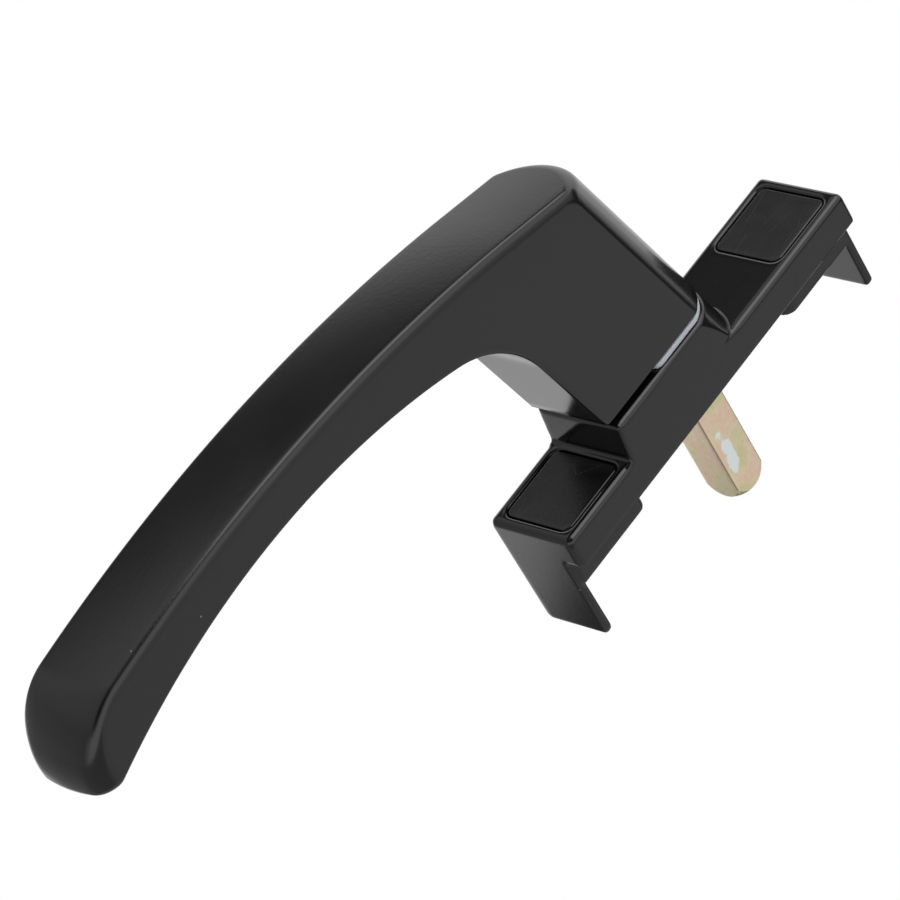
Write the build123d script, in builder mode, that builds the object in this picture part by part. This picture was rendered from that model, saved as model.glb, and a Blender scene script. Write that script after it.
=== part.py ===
"""Locking window handle: a bowed lever on a narrow base, turning a square spindle.

Millimetres. The origin is on the spindle axis in the mounting plane, +Z points out of the window,
and the closed lever points along -X. The front side of the handle faces -Y.
"""
import os
from math import asin, cos, degrees, radians, sin, sqrt, tan

from build123d import *

# Clearances
turn_clearance = 0.05
foot_clearance = 0.15
fit_clearance = 0.02
socket_clearance = 0.05
stack_clearance = 0.1
sweep_clearance = 0.15

# Base casting
base_length = 76.7
base_width = 17.5
pad_height = 6.1
plateau_height = 12.9
plateau_draft = 7.5
nose_swell = 0.2
nose_draft = 15.0
base_corner_radius = 0.8
base_edge_radius = 0.5

# Ribs and legs below the pads
rib_drop = 5.25
rib_inset = 3.2
rib_overlap = 0.8
rib_end_radius = 2.0
leg_thickness = 1.4
lower_leg_inset = 3.9
upper_leg_inset = 3.2
lower_leg_drop = 17.0
upper_leg_drop = 15.3
leg_corner_radius = 1.5

# Fixing holes and their caps
hole_end_margin = 9.1
hole_radius = 2.7
head_radius = 4.8
head_seat_height = 1.5
recess_length = 14.5
recess_rim = 1.75
recess_depth = 2.6
recess_corner_radius = 1.8
recess_edge_chamfer = 0.25
pad_margin = 0.9
cap_end_gap = 0.6
cap_side_gap = 0.35
cap_sink = 0.1
cap_thickness = 1.6
cap_skirt_wall = 1.2
cap_edge_chamfer = 0.25

# Lever
lever_inset = 0.55
lever_tip = 124.8
lever_edge_radius = 1.1
neck_overhang = 0.1
neck_swell = 0.9
neck_crease_radius = 1.5
neck_lean = 14.7
neck_foot_chamfer = 0.25
elbow_height = 49.15
grip_rise = 13.15
grip_straight = 18.0
grip_top_radius = 279.5
grip_thickness = 8.85
grip_under_radius = 127.2
arch_radius = 21.3
tip_round_radius = 10.0
tip_round_share = 0.48
tip_bow_radius = 21.0

# Hub, bush and spindle
hub_radius = 5.7
hub_flat = 5.2
bush_wall = 0.6
bush_flange_thickness = 1.5
bush_flange_inset = 0.35
bush_flange_back = 8.0
bush_corner_radius = 1.0
spindle_side = 7.0
spindle_drop = 25.0
spindle_top = 24.0
spindle_edge_radius = 0.4
pin_radius = 1.25
pin_height = 9.5
pin_end_inset = 0.1

# Mechanism under the plateau
chamber_room = 1.45
plate_thickness = 1.2
plate_lower_margin = 2.7
plate_upper_margin = 5.0
plate_corner_radius = 1.5
plate_hole_margin = 0.6
plate_screw_inset = 3.8
plate_screw_radius = 1.1
plate_screw_length = 4.6
screw_slot_width = 0.6
screw_slot_depth = 0.5
screw_boss_radius = 3.0
hub_end_gap = 0.4
ring_land = 0.5
ring_thickness = 1.0
ring_groove_depth = 0.35
ring_opening = 70.0
cam_thickness = 2.2
cam_lift = 0.4
thrust_thickness = 0.7
thrust_clearance = 0.2
spring_thickness = 0.5
spring_foot_length = 1.8
spring_travel = 0.85
core_roof = 2.1
core_wall = 1.6
core_ledge = 1.0

# Heights and places that follow from the sizes above
half_length = base_length / 2
half_width = base_width / 2
hole_x = half_length - hole_end_margin
hole_spacing = 2 * hole_x
recess_width = base_width - 2 * recess_rim
recess_inner_end = hole_x - recess_length / 2
recess_floor = pad_height - recess_depth
plateau_back = recess_inner_end - pad_margin
nose_radius = half_width + nose_swell
rib_start = plateau_back - rib_overlap
rib_half_width = half_width - rib_inset
lever_half = half_width - lever_inset
lever_width = 2 * lever_half
neck_back = plateau_back + neck_overhang
neck_nose_radius = lever_half + neck_swell
tip_round = min(tip_round_radius, tip_round_share * tip_bow_radius)
foot_height = plateau_height + bush_flange_thickness + foot_clearance
hub_end = plate_thickness + hub_end_gap
ring_bottom = hub_end + ring_land
cam_bottom = ring_bottom + ring_thickness + stack_clearance
cam_top = cam_bottom + cam_thickness
thrust_bottom = cam_top + stack_clearance
cavity_roof = thrust_bottom + thrust_thickness + stack_clearance
cavity_half_width = hub_radius + chamber_room
cam_corner_radius = cavity_half_width - sweep_clearance
cam_side = 2 * (cam_corner_radius - cam_lift)
thrust_radius = cavity_half_width - thrust_clearance
spring_inner = cam_side / 2 + turn_clearance
cavity_half_length = spring_inner + spring_thickness + fit_clearance
plate_lower_end = plateau_back - plate_lower_margin
plate_upper_end = recess_inner_end - plate_upper_margin
core_far = plate_lower_end - core_ledge
core_near = cavity_half_length + spring_travel + core_wall
plate_screw_lower = (core_far + core_near) / 2
plate_screw_upper = plate_upper_end - plate_screw_inset
bush_radius = hub_radius + turn_clearance + bush_wall
socket_side = spindle_side + 2 * socket_clearance
spindle_dome_radius = spindle_side / sqrt(2)

os.makedirs("parts", exist_ok=True)


def on_outline(edge):
    """Whether an edge lies on the outer outline of the base plan."""
    middle = edge.center()
    return abs(middle.Y) > half_width - base_corner_radius or abs(middle.X) > half_length - base_corner_radius


def on_plateau_corner(edge):
    """Whether an edge is an upright corner of the plateau, at its flat end or where its nose begins."""
    middle = edge.center()
    return pad_height < middle.Z < plateau_height and abs(middle.Y) > half_width - base_corner_radius


def on_lever_rim(edge):
    """Whether an edge runs round the lever's front, back, tip or elbow, and not round its foot."""
    middle = edge.center()
    on_side = abs(abs(middle.Y) - lever_half) < fit_clearance and middle.X < -grip_straight / 2
    at_elbow = middle.X > -grip_straight / 2 and middle.Z > elbow_height - lever_edge_radius
    under_tip = middle.X < tip_bow_radius / 2 - lever_tip and middle.Z < tip_floor
    at_tip = under_tip and abs(middle.Y) < lever_half / 2
    return middle.Z > foot_height and (on_side or at_elbow or at_tip)


def screw_outline(gap):
    """Half outline of a countersunk plate screw, each face moved out by the gap."""
    shank = plate_screw_radius + gap
    head = plate_screw_radius + plate_thickness + gap
    end = plate_screw_length + gap
    return (0, 0), (head, 0), (shank, plate_thickness), (shank, end), (0, end)


# Base: pads and plateau with their roundings, then ribs, legs, recesses and the hollow for the mechanism
plateau_rise = plateau_height - pad_height
plateau_top_back = plateau_back - plateau_rise * tan(radians(plateau_draft))
nose_foot = nose_radius + plateau_rise * tan(radians(nose_draft))

with BuildPart() as nose:
    with BuildSketch(Plane.XZ):
        with BuildLine():
            Polyline(
                (0, pad_height), (nose_foot, pad_height), (nose_radius, plateau_height), (0, plateau_height),
                close=True,
            )
        make_face()
    revolve(axis=Axis.Z)
    with BuildSketch(Plane.XY):
        with Locations((nose_foot / 2, 0)):
            Rectangle(nose_foot, base_width)
    extrude(amount=plateau_height, mode=Mode.INTERSECT)

legs = []
leg_sizes = ((-1, lower_leg_drop, lower_leg_inset), (1, upper_leg_drop, upper_leg_inset))
for side, leg_drop, leg_inset in leg_sizes:
    with BuildPart() as leg:
        with BuildSketch(Plane.YZ.offset(side * half_length)) as leg_face:
            with Locations((leg_inset / 2, -leg_drop / 2)):
                Rectangle(base_width - leg_inset, leg_drop)
            fillet(leg_face.vertices().group_by(Axis.Y)[0], leg_corner_radius)
        extrude(amount=-side * leg_thickness)
        with BuildSketch(Plane.XY):
            RectangleRounded(base_length, base_width, base_corner_radius)
        extrude(amount=-leg_drop, mode=Mode.INTERSECT)
    legs.append(leg.part)

with BuildPart() as base:
    with BuildSketch(Plane.XY):
        RectangleRounded(base_length, base_width, base_corner_radius)
    extrude(amount=pad_height)
    with BuildSketch(Plane.XZ):
        with BuildLine():
            Polyline(
                (0, 0), (0, plateau_height), (-plateau_top_back, plateau_height), (-plateau_back, pad_height),
                (-plateau_back, 0), close=True,
            )
        make_face()
    extrude(amount=half_width, both=True)
    add(nose.part)
    pad_level = base.edges().filter_by_position(Axis.Z, pad_height, pad_height)
    outer_edges = pad_level.filter_by(on_outline)
    outer_edges += base.edges().group_by(Axis.Z)[-1]
    outer_edges += base.edges().filter_by(on_plateau_corner)
    outer_edges += pad_level.filter_by(GeomType.CIRCLE).filter_by_position(Axis.X, nose_radius, nose_foot)
    fillet(outer_edges, base_edge_radius)

    # A rib under each pad with its free end rounded, and the legs
    rib_length = half_length - leg_thickness / 2 - rib_start
    for side in (-1, 1):
        with BuildSketch(Plane.XY) as rib_plan:
            with Locations((side * (rib_start + rib_length / 2), 0)):
                Rectangle(rib_length, 2 * rib_half_width)
            fillet(rib_plan.vertices().sort_by(lambda corner: abs(corner.X))[:2], rib_end_radius)
        extrude(amount=-rib_drop)
    add(legs)

    # Cap recesses and the fixing holes in their floors
    with BuildSketch(Plane.XY.offset(pad_height)):
        with GridLocations(hole_spacing, 0, 2, 1):
            RectangleRounded(recess_length, recess_width, recess_corner_radius)
    extrude(amount=-recess_depth, mode=Mode.SUBTRACT)
    recess_rims = base.edges(Select.LAST).filter_by_position(Axis.Z, pad_height, pad_height)
    chamfer(recess_rims, recess_edge_chamfer)
    with GridLocations(hole_spacing, 0, 2, 1):
        with Locations((0, 0, recess_floor)):
            CounterBoreHole(hole_radius, head_radius, recess_floor - head_seat_height, recess_floor + rib_drop)

    # Hollow below: plate recess, spring chamber, hub bore, cored plateau and pilot holes
    with BuildSketch(Plane.XY):
        with Locations(((plate_upper_end - plate_lower_end) / 2, 0)):
            RectangleRounded(
                plate_lower_end + plate_upper_end + 2 * fit_clearance, 2 * cavity_half_width, plate_corner_radius,
            )
    extrude(amount=plate_thickness, mode=Mode.SUBTRACT)
    with BuildSketch(Plane.XY.offset(plate_thickness)):
        Rectangle(2 * cavity_half_length, 2 * cavity_half_width)
        Rectangle(2 * (cavity_half_length + spring_travel), 2 * (cavity_half_width - spring_foot_length))
    extrude(amount=cavity_roof - plate_thickness, mode=Mode.SUBTRACT)
    with BuildSketch(Plane.XY.offset(cavity_roof)):
        Circle(bush_radius + fit_clearance)
    extrude(amount=plateau_height - cavity_roof, mode=Mode.SUBTRACT)
    with BuildSketch(Plane.XY.offset(plate_thickness)):
        with Locations((-(core_far + core_near) / 2, 0)):
            Rectangle(core_far - core_near, 2 * cavity_half_width)
        with Locations((-plate_screw_lower, 0)):
            Circle(screw_boss_radius, mode=Mode.SUBTRACT)
    extrude(amount=plateau_height - core_roof - plate_thickness, mode=Mode.SUBTRACT)
    with BuildSketch(Plane.XY.offset(plate_thickness)):
        with Locations((-plate_screw_lower, 0), (plate_screw_upper, 0)):
            Circle(plate_screw_radius + fit_clearance)
    extrude(amount=plate_screw_length + fit_clearance - plate_thickness, mode=Mode.SUBTRACT)

base.part.label = "base"
export_step(base.part, "parts/base.step")


# Lever: grip, arch and neck from one side outline, trimmed by the neck's leaning nose and the bowed tip
rise = radians(grip_rise)
lean = radians(neck_lean)
reach = lever_tip + tip_bow_radius
nose_front = neck_nose_radius + neck_crease_radius
bend_height = elbow_height + grip_straight * tan(rise)
apex_x = -grip_straight - grip_top_radius * sin(rise)
apex_height = bend_height + grip_top_radius * (1 - cos(rise))
belly_apex = apex_height - grip_thickness
bow_angle = grip_rise + degrees(asin((reach + apex_x) / grip_top_radius))
tip_floor = belly_apex - grip_thickness / 2
neck_top_back = neck_back + (elbow_height - foot_height) * tan(lean)


def belly_height(x):
    """Height of the grip's underside at x."""
    return belly_apex - grip_under_radius + sqrt(grip_under_radius**2 - (x - apex_x) ** 2)


with BuildPart() as lever:
    with BuildSketch(Plane.XZ) as lever_side:
        with BuildLine():
            straight = Line((nose_front, elbow_height - nose_front * tan(rise)), (-grip_straight, bend_height))
            bow = JernArc(straight @ 1, straight % 1, grip_top_radius, bow_angle)
            belly = ThreePointArc(
                (-reach, belly_height(-reach)), (apex_x, belly_apex), (-neck_back, belly_height(-neck_back)),
            )
            Line(bow @ 1, belly @ 0)
            Line(belly @ 1, straight @ 0)
        make_face()
        with BuildLine():
            Polyline(
                (-neck_back, foot_height), (nose_front, foot_height), straight @ 0, (-neck_top_back, elbow_height),
                close=True,
            )
        make_face()
        under_grip = lever_side.vertices().filter_by_position(Axis.Y, foot_height + hub_radius, belly_apex)
        fillet(under_grip.filter_by_position(Axis.X, -neck_top_back, -neck_back), arch_radius)
    extrude(amount=lever_half, both=True)
    with BuildSketch(Plane.XY.offset(foot_height)) as neck_plan:
        with Locations((-reach, 0)):
            Rectangle(2 * reach, 2 * neck_nose_radius)
        Circle(neck_nose_radius)
        Rectangle(4 * reach, lever_width, mode=Mode.INTERSECT)
        fillet(neck_plan.vertices().filter_by_position(Axis.X, 0, neck_nose_radius), neck_crease_radius)
    extrude(amount=apex_height, dir=(-sin(lean), 0, cos(lean)), mode=Mode.INTERSECT)
    with BuildSketch(Plane.XY):
        with Locations((tip_bow_radius - lever_tip, 0)):
            Circle(tip_bow_radius)
        with Locations((tip_bow_radius - lever_tip + reach, 0)):
            Rectangle(2 * reach, 2 * tip_bow_radius)
    extrude(amount=2 * apex_height, mode=Mode.INTERSECT)
    tip_edges = lever.edges().filter_by(lambda edge: edge.center().X < tip_bow_radius / 2 - lever_tip)
    tip_top = tip_edges.sort_by(Axis.Z)[-1]
    fillet(tip_top, tip_round)
    fillet(lever.edges().filter_by(on_lever_rim), lever_edge_radius)
    chamfer(lever.faces().sort_by(Axis.Z)[0].edges(), neck_foot_chamfer)

    # Hub with its keying flats, ring groove, spindle socket and pin hole
    with BuildSketch(Plane.XY.offset(hub_end)):
        Circle(hub_radius)
    extrude(amount=foot_height - hub_end + neck_foot_chamfer)
    with BuildSketch(Plane.XY.offset(hub_end)):
        Circle(hub_radius)
        Rectangle(2 * hub_flat, 2 * hub_flat, mode=Mode.SUBTRACT)
    extrude(amount=cam_top - hub_end, mode=Mode.SUBTRACT)
    with BuildSketch(Plane.XY.offset(ring_bottom)):
        Circle(hub_radius)
        Circle(hub_radius - ring_groove_depth, mode=Mode.SUBTRACT)
    extrude(amount=ring_thickness, mode=Mode.SUBTRACT)
    with BuildSketch(Plane.XY.offset(hub_end)):
        Rectangle(socket_side, socket_side)
    extrude(amount=spindle_top + socket_clearance - hub_end, mode=Mode.SUBTRACT)
    with BuildSketch(Plane.XZ):
        with Locations((0, pin_height)):
            Circle(pin_radius + fit_clearance)
    extrude(amount=hub_radius, both=True, mode=Mode.SUBTRACT)

lever.part.label = "lever"
export_step(lever.part, "parts/lever.step")


# Square spindle with a domed end, and the pin that crosses it and the hub
with BuildPart() as spindle:
    with BuildSketch(Plane.XY.offset(-spindle_drop)):
        RectangleRounded(spindle_side, spindle_side, spindle_edge_radius)
    extrude(amount=spindle_drop + spindle_top)
    with BuildSketch(Plane.XZ):
        with BuildLine():
            dome = CenterArc((0, spindle_dome_radius - spindle_drop), spindle_dome_radius, -90, 90)
            Polyline(dome @ 1, (spindle_dome_radius, spindle_top), (0, spindle_top), dome @ 0)
        make_face()
    revolve(axis=Axis.Z, mode=Mode.INTERSECT)
    with BuildSketch(Plane.XZ):
        with Locations((0, pin_height)):
            Circle(pin_radius + fit_clearance)
    extrude(amount=spindle_side, both=True, mode=Mode.SUBTRACT)

spindle.part.label = "spindle"
export_step(spindle.part, "parts/spindle.step")

with BuildPart() as spindle_pin:
    with BuildSketch(Plane.XZ):
        with Locations((0, pin_height)):
            Circle(pin_radius)
    extrude(amount=hub_radius - pin_end_inset, both=True)

spindle_pin.part.label = "spindle_pin"
export_step(spindle_pin.part, "parts/spindle_pin.step")


# Bush: a sleeve in the base's bore and a D-shaped flange that the neck's foot turns on
with BuildPart() as bearing_bush:
    with BuildSketch(Plane.XY.offset(cavity_roof)):
        Circle(bush_radius)
    extrude(amount=plateau_height - cavity_roof)
    with BuildSketch(Plane.XY.offset(plateau_height)) as flange_plan:
        Circle(nose_radius - bush_flange_inset)
        with Locations((nose_radius - bush_flange_back, 0)):
            Rectangle(2 * nose_radius, lever_width - 2 * bush_flange_inset, mode=Mode.INTERSECT)
        fillet(flange_plan.vertices().group_by(Axis.X)[0], bush_corner_radius)
    extrude(amount=bush_flange_thickness)
    with BuildSketch(Plane.XY.offset(cavity_roof)):
        Circle(hub_radius + turn_clearance)
    extrude(amount=foot_height - cavity_roof, mode=Mode.SUBTRACT)

bearing_bush.part.label = "bearing_bush"
export_step(bearing_bush.part, "parts/bearing_bush.step")


# Click mechanism: square cam on the hub's four flats, a leaf spring on two sides of it, washer and snap ring
with BuildPart() as index_cam:
    with BuildSketch(Plane.XY.offset(cam_bottom)):
        Rectangle(cam_side, cam_side)
        Circle(cam_corner_radius, mode=Mode.INTERSECT)
        with BuildSketch(mode=Mode.SUBTRACT):
            Circle(hub_radius + fit_clearance)
            Rectangle(2 * (hub_flat + fit_clearance), 2 * (hub_flat + fit_clearance), mode=Mode.INTERSECT)
    extrude(amount=cam_thickness)

index_cam.part.label = "index_cam"
export_step(index_cam.part, "parts/index_cam.step")

for spring_name, side in (("lower_detent_spring", -1), ("upper_detent_spring", 1)):
    with BuildPart() as detent_spring:
        with BuildSketch(Plane.YZ.offset(side * (spring_inner + spring_thickness / 2))):
            with Locations((0, (cam_bottom + cam_top) / 2)):
                Rectangle(2 * (cavity_half_width - fit_clearance), cam_thickness - 2 * stack_clearance)
            with Locations((0, (plate_thickness + cavity_roof) / 2)):
                with GridLocations(2 * (cavity_half_width - fit_clearance) - spring_foot_length, 0, 2, 1):
                    Rectangle(spring_foot_length, cavity_roof - plate_thickness - 2 * fit_clearance)
        extrude(amount=spring_thickness / 2, both=True)
    detent_spring.part.label = spring_name
    export_step(detent_spring.part, "parts/" + spring_name + ".step")

with BuildPart() as thrust_washer:
    with BuildSketch(Plane.XY.offset(thrust_bottom)):
        Circle(thrust_radius)
        Circle(hub_radius + turn_clearance, mode=Mode.SUBTRACT)
    extrude(amount=thrust_thickness)

thrust_washer.part.label = "thrust_washer"
export_step(thrust_washer.part, "parts/thrust_washer.step")

with BuildPart() as snap_ring:
    with BuildSketch(Plane.XY.offset(ring_bottom + fit_clearance)):
        Circle(thrust_radius)
        Circle(hub_radius - ring_groove_depth + fit_clearance, mode=Mode.SUBTRACT)
        with BuildLine():
            opening = CenterArc((0, 0), 2 * thrust_radius, 90 - ring_opening / 2, ring_opening)
            Line((0, 0), opening @ 0)
            Line((0, 0), opening @ 1)
        make_face(mode=Mode.SUBTRACT)
    extrude(amount=ring_thickness - 2 * fit_clearance)

snap_ring.part.label = "snap_ring"
export_step(snap_ring.part, "parts/snap_ring.step")


# Cover plate and its two countersunk screws
plate_screws = (("lower_plate_screw", -plate_screw_lower), ("upper_plate_screw", plate_screw_upper))

with BuildPart() as cover_plate:
    with BuildSketch(Plane.XY):
        with Locations(((plate_upper_end - plate_lower_end) / 2, 0)):
            RectangleRounded(
                plate_lower_end + plate_upper_end, 2 * (cavity_half_width - fit_clearance), plate_corner_radius,
            )
        Circle(spindle_side / sqrt(2) + plate_hole_margin, mode=Mode.SUBTRACT)
    extrude(amount=plate_thickness)
    for screw_name, screw_x in plate_screws:
        with BuildSketch(Plane((screw_x, 0, 0), x_dir=(1, 0, 0), z_dir=(0, -1, 0))):
            with BuildLine():
                Polyline(*screw_outline(fit_clearance), close=True)
            make_face()
        revolve(axis=Axis((screw_x, 0, 0), (0, 0, 1)), mode=Mode.SUBTRACT)

cover_plate.part.label = "cover_plate"
export_step(cover_plate.part, "parts/cover_plate.step")

for screw_name, screw_x in plate_screws:
    with BuildPart() as plate_screw:
        with BuildSketch(Plane((screw_x, 0, 0), x_dir=(1, 0, 0), z_dir=(0, -1, 0))):
            with BuildLine():
                Polyline(*screw_outline(0), close=True)
            make_face()
        revolve(axis=Axis((screw_x, 0, 0), (0, 0, 1)))
        with BuildSketch(Plane.XY):
            with Locations((screw_x, 0)):
                Rectangle(screw_slot_width, 4 * (plate_screw_radius + plate_thickness))
        extrude(amount=screw_slot_depth, mode=Mode.SUBTRACT)
    plate_screw.part.label = screw_name
    export_step(plate_screw.part, "parts/" + screw_name + ".step")


# Caps over the fixing screws: a thin lid with a skirt that seats in the recess
for cap_name, cap_x in (("lower_screw_cap", -hole_x), ("upper_screw_cap", hole_x)):
    lid_top = pad_height - cap_sink
    lid_length = recess_length - 2 * cap_end_gap
    lid_width = recess_width - 2 * cap_side_gap
    lid_corner = recess_corner_radius - cap_side_gap
    skirt_length = recess_length - 2 * fit_clearance
    skirt_width = recess_width - 2 * fit_clearance
    with BuildPart() as screw_cap:
        with BuildSketch(Plane.XY.offset(lid_top)):
            with Locations((cap_x, 0)):
                RectangleRounded(lid_length, lid_width, lid_corner)
        extrude(amount=-cap_thickness)
        chamfer(screw_cap.edges().group_by(Axis.Z)[-1], cap_edge_chamfer)
        with BuildSketch(Plane.XY.offset(recess_floor)):
            with Locations((cap_x, 0)):
                RectangleRounded(skirt_length, skirt_width, recess_corner_radius)
                Rectangle(skirt_length - 2 * cap_skirt_wall, skirt_width - 2 * cap_skirt_wall, mode=Mode.SUBTRACT)
        extrude(amount=lid_top - cap_thickness - recess_floor)
    screw_cap.part.label = cap_name
    export_step(screw_cap.part, "parts/" + cap_name + ".step")
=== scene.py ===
"""Looks of a black locking window handle: a bowed lever on a narrow base with a yellow zinc spindle.

Metres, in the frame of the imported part: the origin is on the spindle axis in the mounting plane, +Z points
out of the window, the closed lever points along -X and the front of the handle faces -Y. Sizes of the pieces
are written in millimetres and turned into metres when a mesh is made.
"""

import logging
from dataclasses import dataclass
from enum import Enum
from math import cos, pi, radians, sin, tan
from typing import Sequence

import bpy
import numpy as np
from mathutils import Matrix, Vector


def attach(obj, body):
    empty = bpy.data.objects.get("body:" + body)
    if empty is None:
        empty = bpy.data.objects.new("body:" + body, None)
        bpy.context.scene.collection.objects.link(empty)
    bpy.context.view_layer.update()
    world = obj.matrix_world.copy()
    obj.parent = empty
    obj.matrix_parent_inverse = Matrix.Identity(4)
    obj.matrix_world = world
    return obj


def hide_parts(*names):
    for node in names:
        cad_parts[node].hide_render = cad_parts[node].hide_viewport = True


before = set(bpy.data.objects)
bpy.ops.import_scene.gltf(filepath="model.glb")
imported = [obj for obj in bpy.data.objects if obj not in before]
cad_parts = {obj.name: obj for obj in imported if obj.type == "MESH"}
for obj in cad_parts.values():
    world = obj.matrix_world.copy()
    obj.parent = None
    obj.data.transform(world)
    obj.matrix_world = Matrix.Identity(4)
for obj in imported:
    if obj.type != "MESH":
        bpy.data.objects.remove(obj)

LOG = logging.getLogger("window_handle")
MM = 0.001
TINY = 1e-6
CLOUD_DETAIL = 4.0

# Millimetres along X from the spindle axis to each fixing screw.
HOLE_REACH = 29.25

# A span is where a band starts and ends, stops are places with the values there, and rows are outline points
# (x, z) with their y.
Socket = bpy.types.NodeSocket
Triple = tuple[float, float, float]
Colour = Triple
Span = tuple[float, float]
Stops = tuple[tuple[float, float], ...]
Rows = list[tuple[np.ndarray, np.ndarray]]
EVEN: Triple = (1.0, 1.0, 1.0)


class Body(Enum):
    """The two bodies that turn against each other."""

    BASE = "base"
    LEVER = "lever"


class Slot(Enum):
    """The record's material slots."""

    BLACK_COAT = "black_coat"
    CAP_BLACK = "cap_black"
    GREY_PLASTIC = "grey_plastic"
    YELLOW_ZINC = "yellow_zinc"
    PLATED_STEEL = "plated_steel"
    BARE_STEEL = "bare_steel"


class ShaderTree:
    """A material's or world's node tree, with short ways to add and join nodes."""

    def __init__(self, tree: bpy.types.NodeTree) -> None:
        """Clear the tree and keep it."""
        self.tree = tree
        self.tree.nodes.clear()

    def node(self, kind: str, **settings: object) -> bpy.types.Node:
        """Add a node.

        Args:
            kind: Blender's name of the node type, without its ShaderNode prefix.
            settings: Properties of the node, or default values of its inputs where it has no such property.

        Returns:
            The new node.
        """
        made = self.tree.nodes.new("ShaderNode" + kind)
        for name, value in settings.items():
            if hasattr(made, name):
                setattr(made, name, value)
            else:
                made.inputs[name.replace("_", " ")].default_value = value
        return made

    def join(self, source: Socket, target: Socket) -> None:
        """Link an output to an input."""
        self.tree.links.new(source, target)

    def math(self, operation: str, *values: object) -> Socket:
        """Add a Math node.

        Args:
            operation: The node's operation.
            values: Sockets or numbers for its inputs, in order.

        Returns:
            The node's output.
        """
        made = self.node("Math", operation=operation)
        for value, target in zip(values, made.inputs):
            if isinstance(value, Socket):
                self.join(value, target)
            else:
                target.default_value = value
        return made.outputs[0]

    def ramp(self, value: Socket, stops: Sequence[tuple[float, Colour]]) -> Socket:
        """Add a Color Ramp.

        Args:
            value: The socket that runs along the ramp.
            stops: Place and colour of each stop, in order.

        Returns:
            The ramp's colour output.
        """
        made = self.node("ValToRGB")
        elements = made.color_ramp.elements
        while len(elements) < len(stops):
            elements.new(1.0)
        for element, (place, colour) in zip(elements, stops):
            element.position = place
            element.color = (*colour, 1.0)
        self.join(value, made.inputs[0])
        return made.outputs[0]

    def band(self, value: Socket, low: float, high: float) -> Socket:
        """Ease a value from 0 to 1.

        Args:
            value: The socket to ease.
            low: Where it is 0.
            high: Where it is 1, above or below low.

        Returns:
            The eased value.
        """
        made = self.node("MapRange", interpolation_type="SMOOTHSTEP", From_Min=low, From_Max=high)
        self.join(value, made.inputs["Value"])
        return made.outputs[0]

    def mix(self, share: Socket, first: object, second: object) -> Socket:
        """Mix two colours.

        Args:
            share: How much of the second colour shows.
            first: A socket or a colour.
            second: A socket or a colour.

        Returns:
            The mixed colour.
        """
        made = self.node("Mix", data_type="RGBA")
        self.join(share, made.inputs["Factor"])
        for value, target in ((first, made.inputs[6]), (second, made.inputs[7])):
            if isinstance(value, Socket):
                self.join(value, target)
            else:
                target.default_value = (*value, 1.0)
        return made.outputs[2]

    def place(self, stretch: Triple = EVEN) -> Socket:
        """Give Object coordinates.

        Args:
            stretch: Factors along the three axes.

        Returns:
            The coordinates.
        """
        source = self.node("TexCoord").outputs["Object"]
        if stretch == EVEN:
            return source
        mapping = self.node("Mapping")
        mapping.inputs["Scale"].default_value = stretch
        self.join(source, mapping.inputs["Vector"])
        return mapping.outputs[0]

    def noise(self, scale: float, detail: float = 2.0, stretch: Triple = EVEN) -> Socket:
        """Add a Noise Texture on Object coordinates.

        Args:
            scale: Cells in a metre.
            detail: Number of finer layers.
            stretch: Factors on the coordinates.

        Returns:
            The noise, about 0.5.
        """
        made = self.node("TexNoise", Scale=scale, Detail=detail)
        self.join(self.place(stretch), made.inputs["Vector"])
        return made.outputs["Fac"]

    def cloud(self, scale: float, low: float, high: float) -> Socket:
        """Let a value wander over the surface.

        Args:
            scale: Cells in a metre of the noise that it follows.
            low: Its value where the noise is 0.
            high: Its value where the noise is 1.

        Returns:
            The value.
        """
        made = self.node("MapRange", To_Min=low, To_Max=high)
        self.join(self.noise(scale, CLOUD_DETAIL), made.inputs["Value"])
        return made.outputs[0]

    def bump(self, height: Socket, depth: float, edge_round: float = 0.0, edge_samples: int = 4) -> Socket:
        """Turn a relief into a normal.

        Args:
            height: The relief.
            depth: Its strength, as a part of a millimetre.
            edge_round: Radius in millimetres that sharp edges seem to have, none where it is 0.
            edge_samples: Samples of that rounding.

        Returns:
            The normal.
        """
        made = self.node("Bump", Strength=depth, Distance=MM)
        self.join(height, made.inputs["Height"])
        if edge_round > 0:
            edge = self.node("Bevel", samples=edge_samples, Radius=edge_round * MM)
            self.join(edge.outputs[0], made.inputs["Normal"])
        return made.outputs[0]

    def specks(self, scale: float, size: float, share: float, core: float = 0.6) -> Socket:
        """Scatter small dots.

        Args:
            scale: Cells in a metre.
            size: Radius of a dot, as a part of its cell.
            share: The part of the cells that may hold a dot.
            core: The part of a dot's radius inside which it is full.

        Returns:
            1 inside a dot, 0 outside.
        """
        cells = self.node("TexVoronoi", Scale=scale)
        self.join(self.place(), cells.inputs["Vector"])
        chance = self.node("SeparateColor")
        self.join(cells.outputs["Color"], chance.inputs[0])
        held = self.math("LESS_THAN", chance.outputs[0], share)
        return self.math("MULTIPLY", held, self.band(cells.outputs["Distance"], size, core * size))

    def hairlines(self, scale: float, width: float, shown: Span, stretch: Triple) -> Socket:
        """Draw hairline scratches: the borders of stretched cells, shown in a few patches only.

        The patches come from a noise with half as many cells.

        Args:
            scale: Cells in a metre.
            width: Width of a line, as a part of a cell.
            shown: Noise levels between which the lines come up.
            stretch: Factors on the coordinates of the cells.

        Returns:
            1 on a line, 0 beside it.
        """
        cells = self.node("TexVoronoi", feature="DISTANCE_TO_EDGE", Scale=scale)
        self.join(self.place(stretch), cells.inputs["Vector"])
        line = self.band(cells.outputs["Distance"], width, 0.0)
        return self.math("MULTIPLY", line, self.band(self.noise(scale / 2), *shown))


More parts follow.
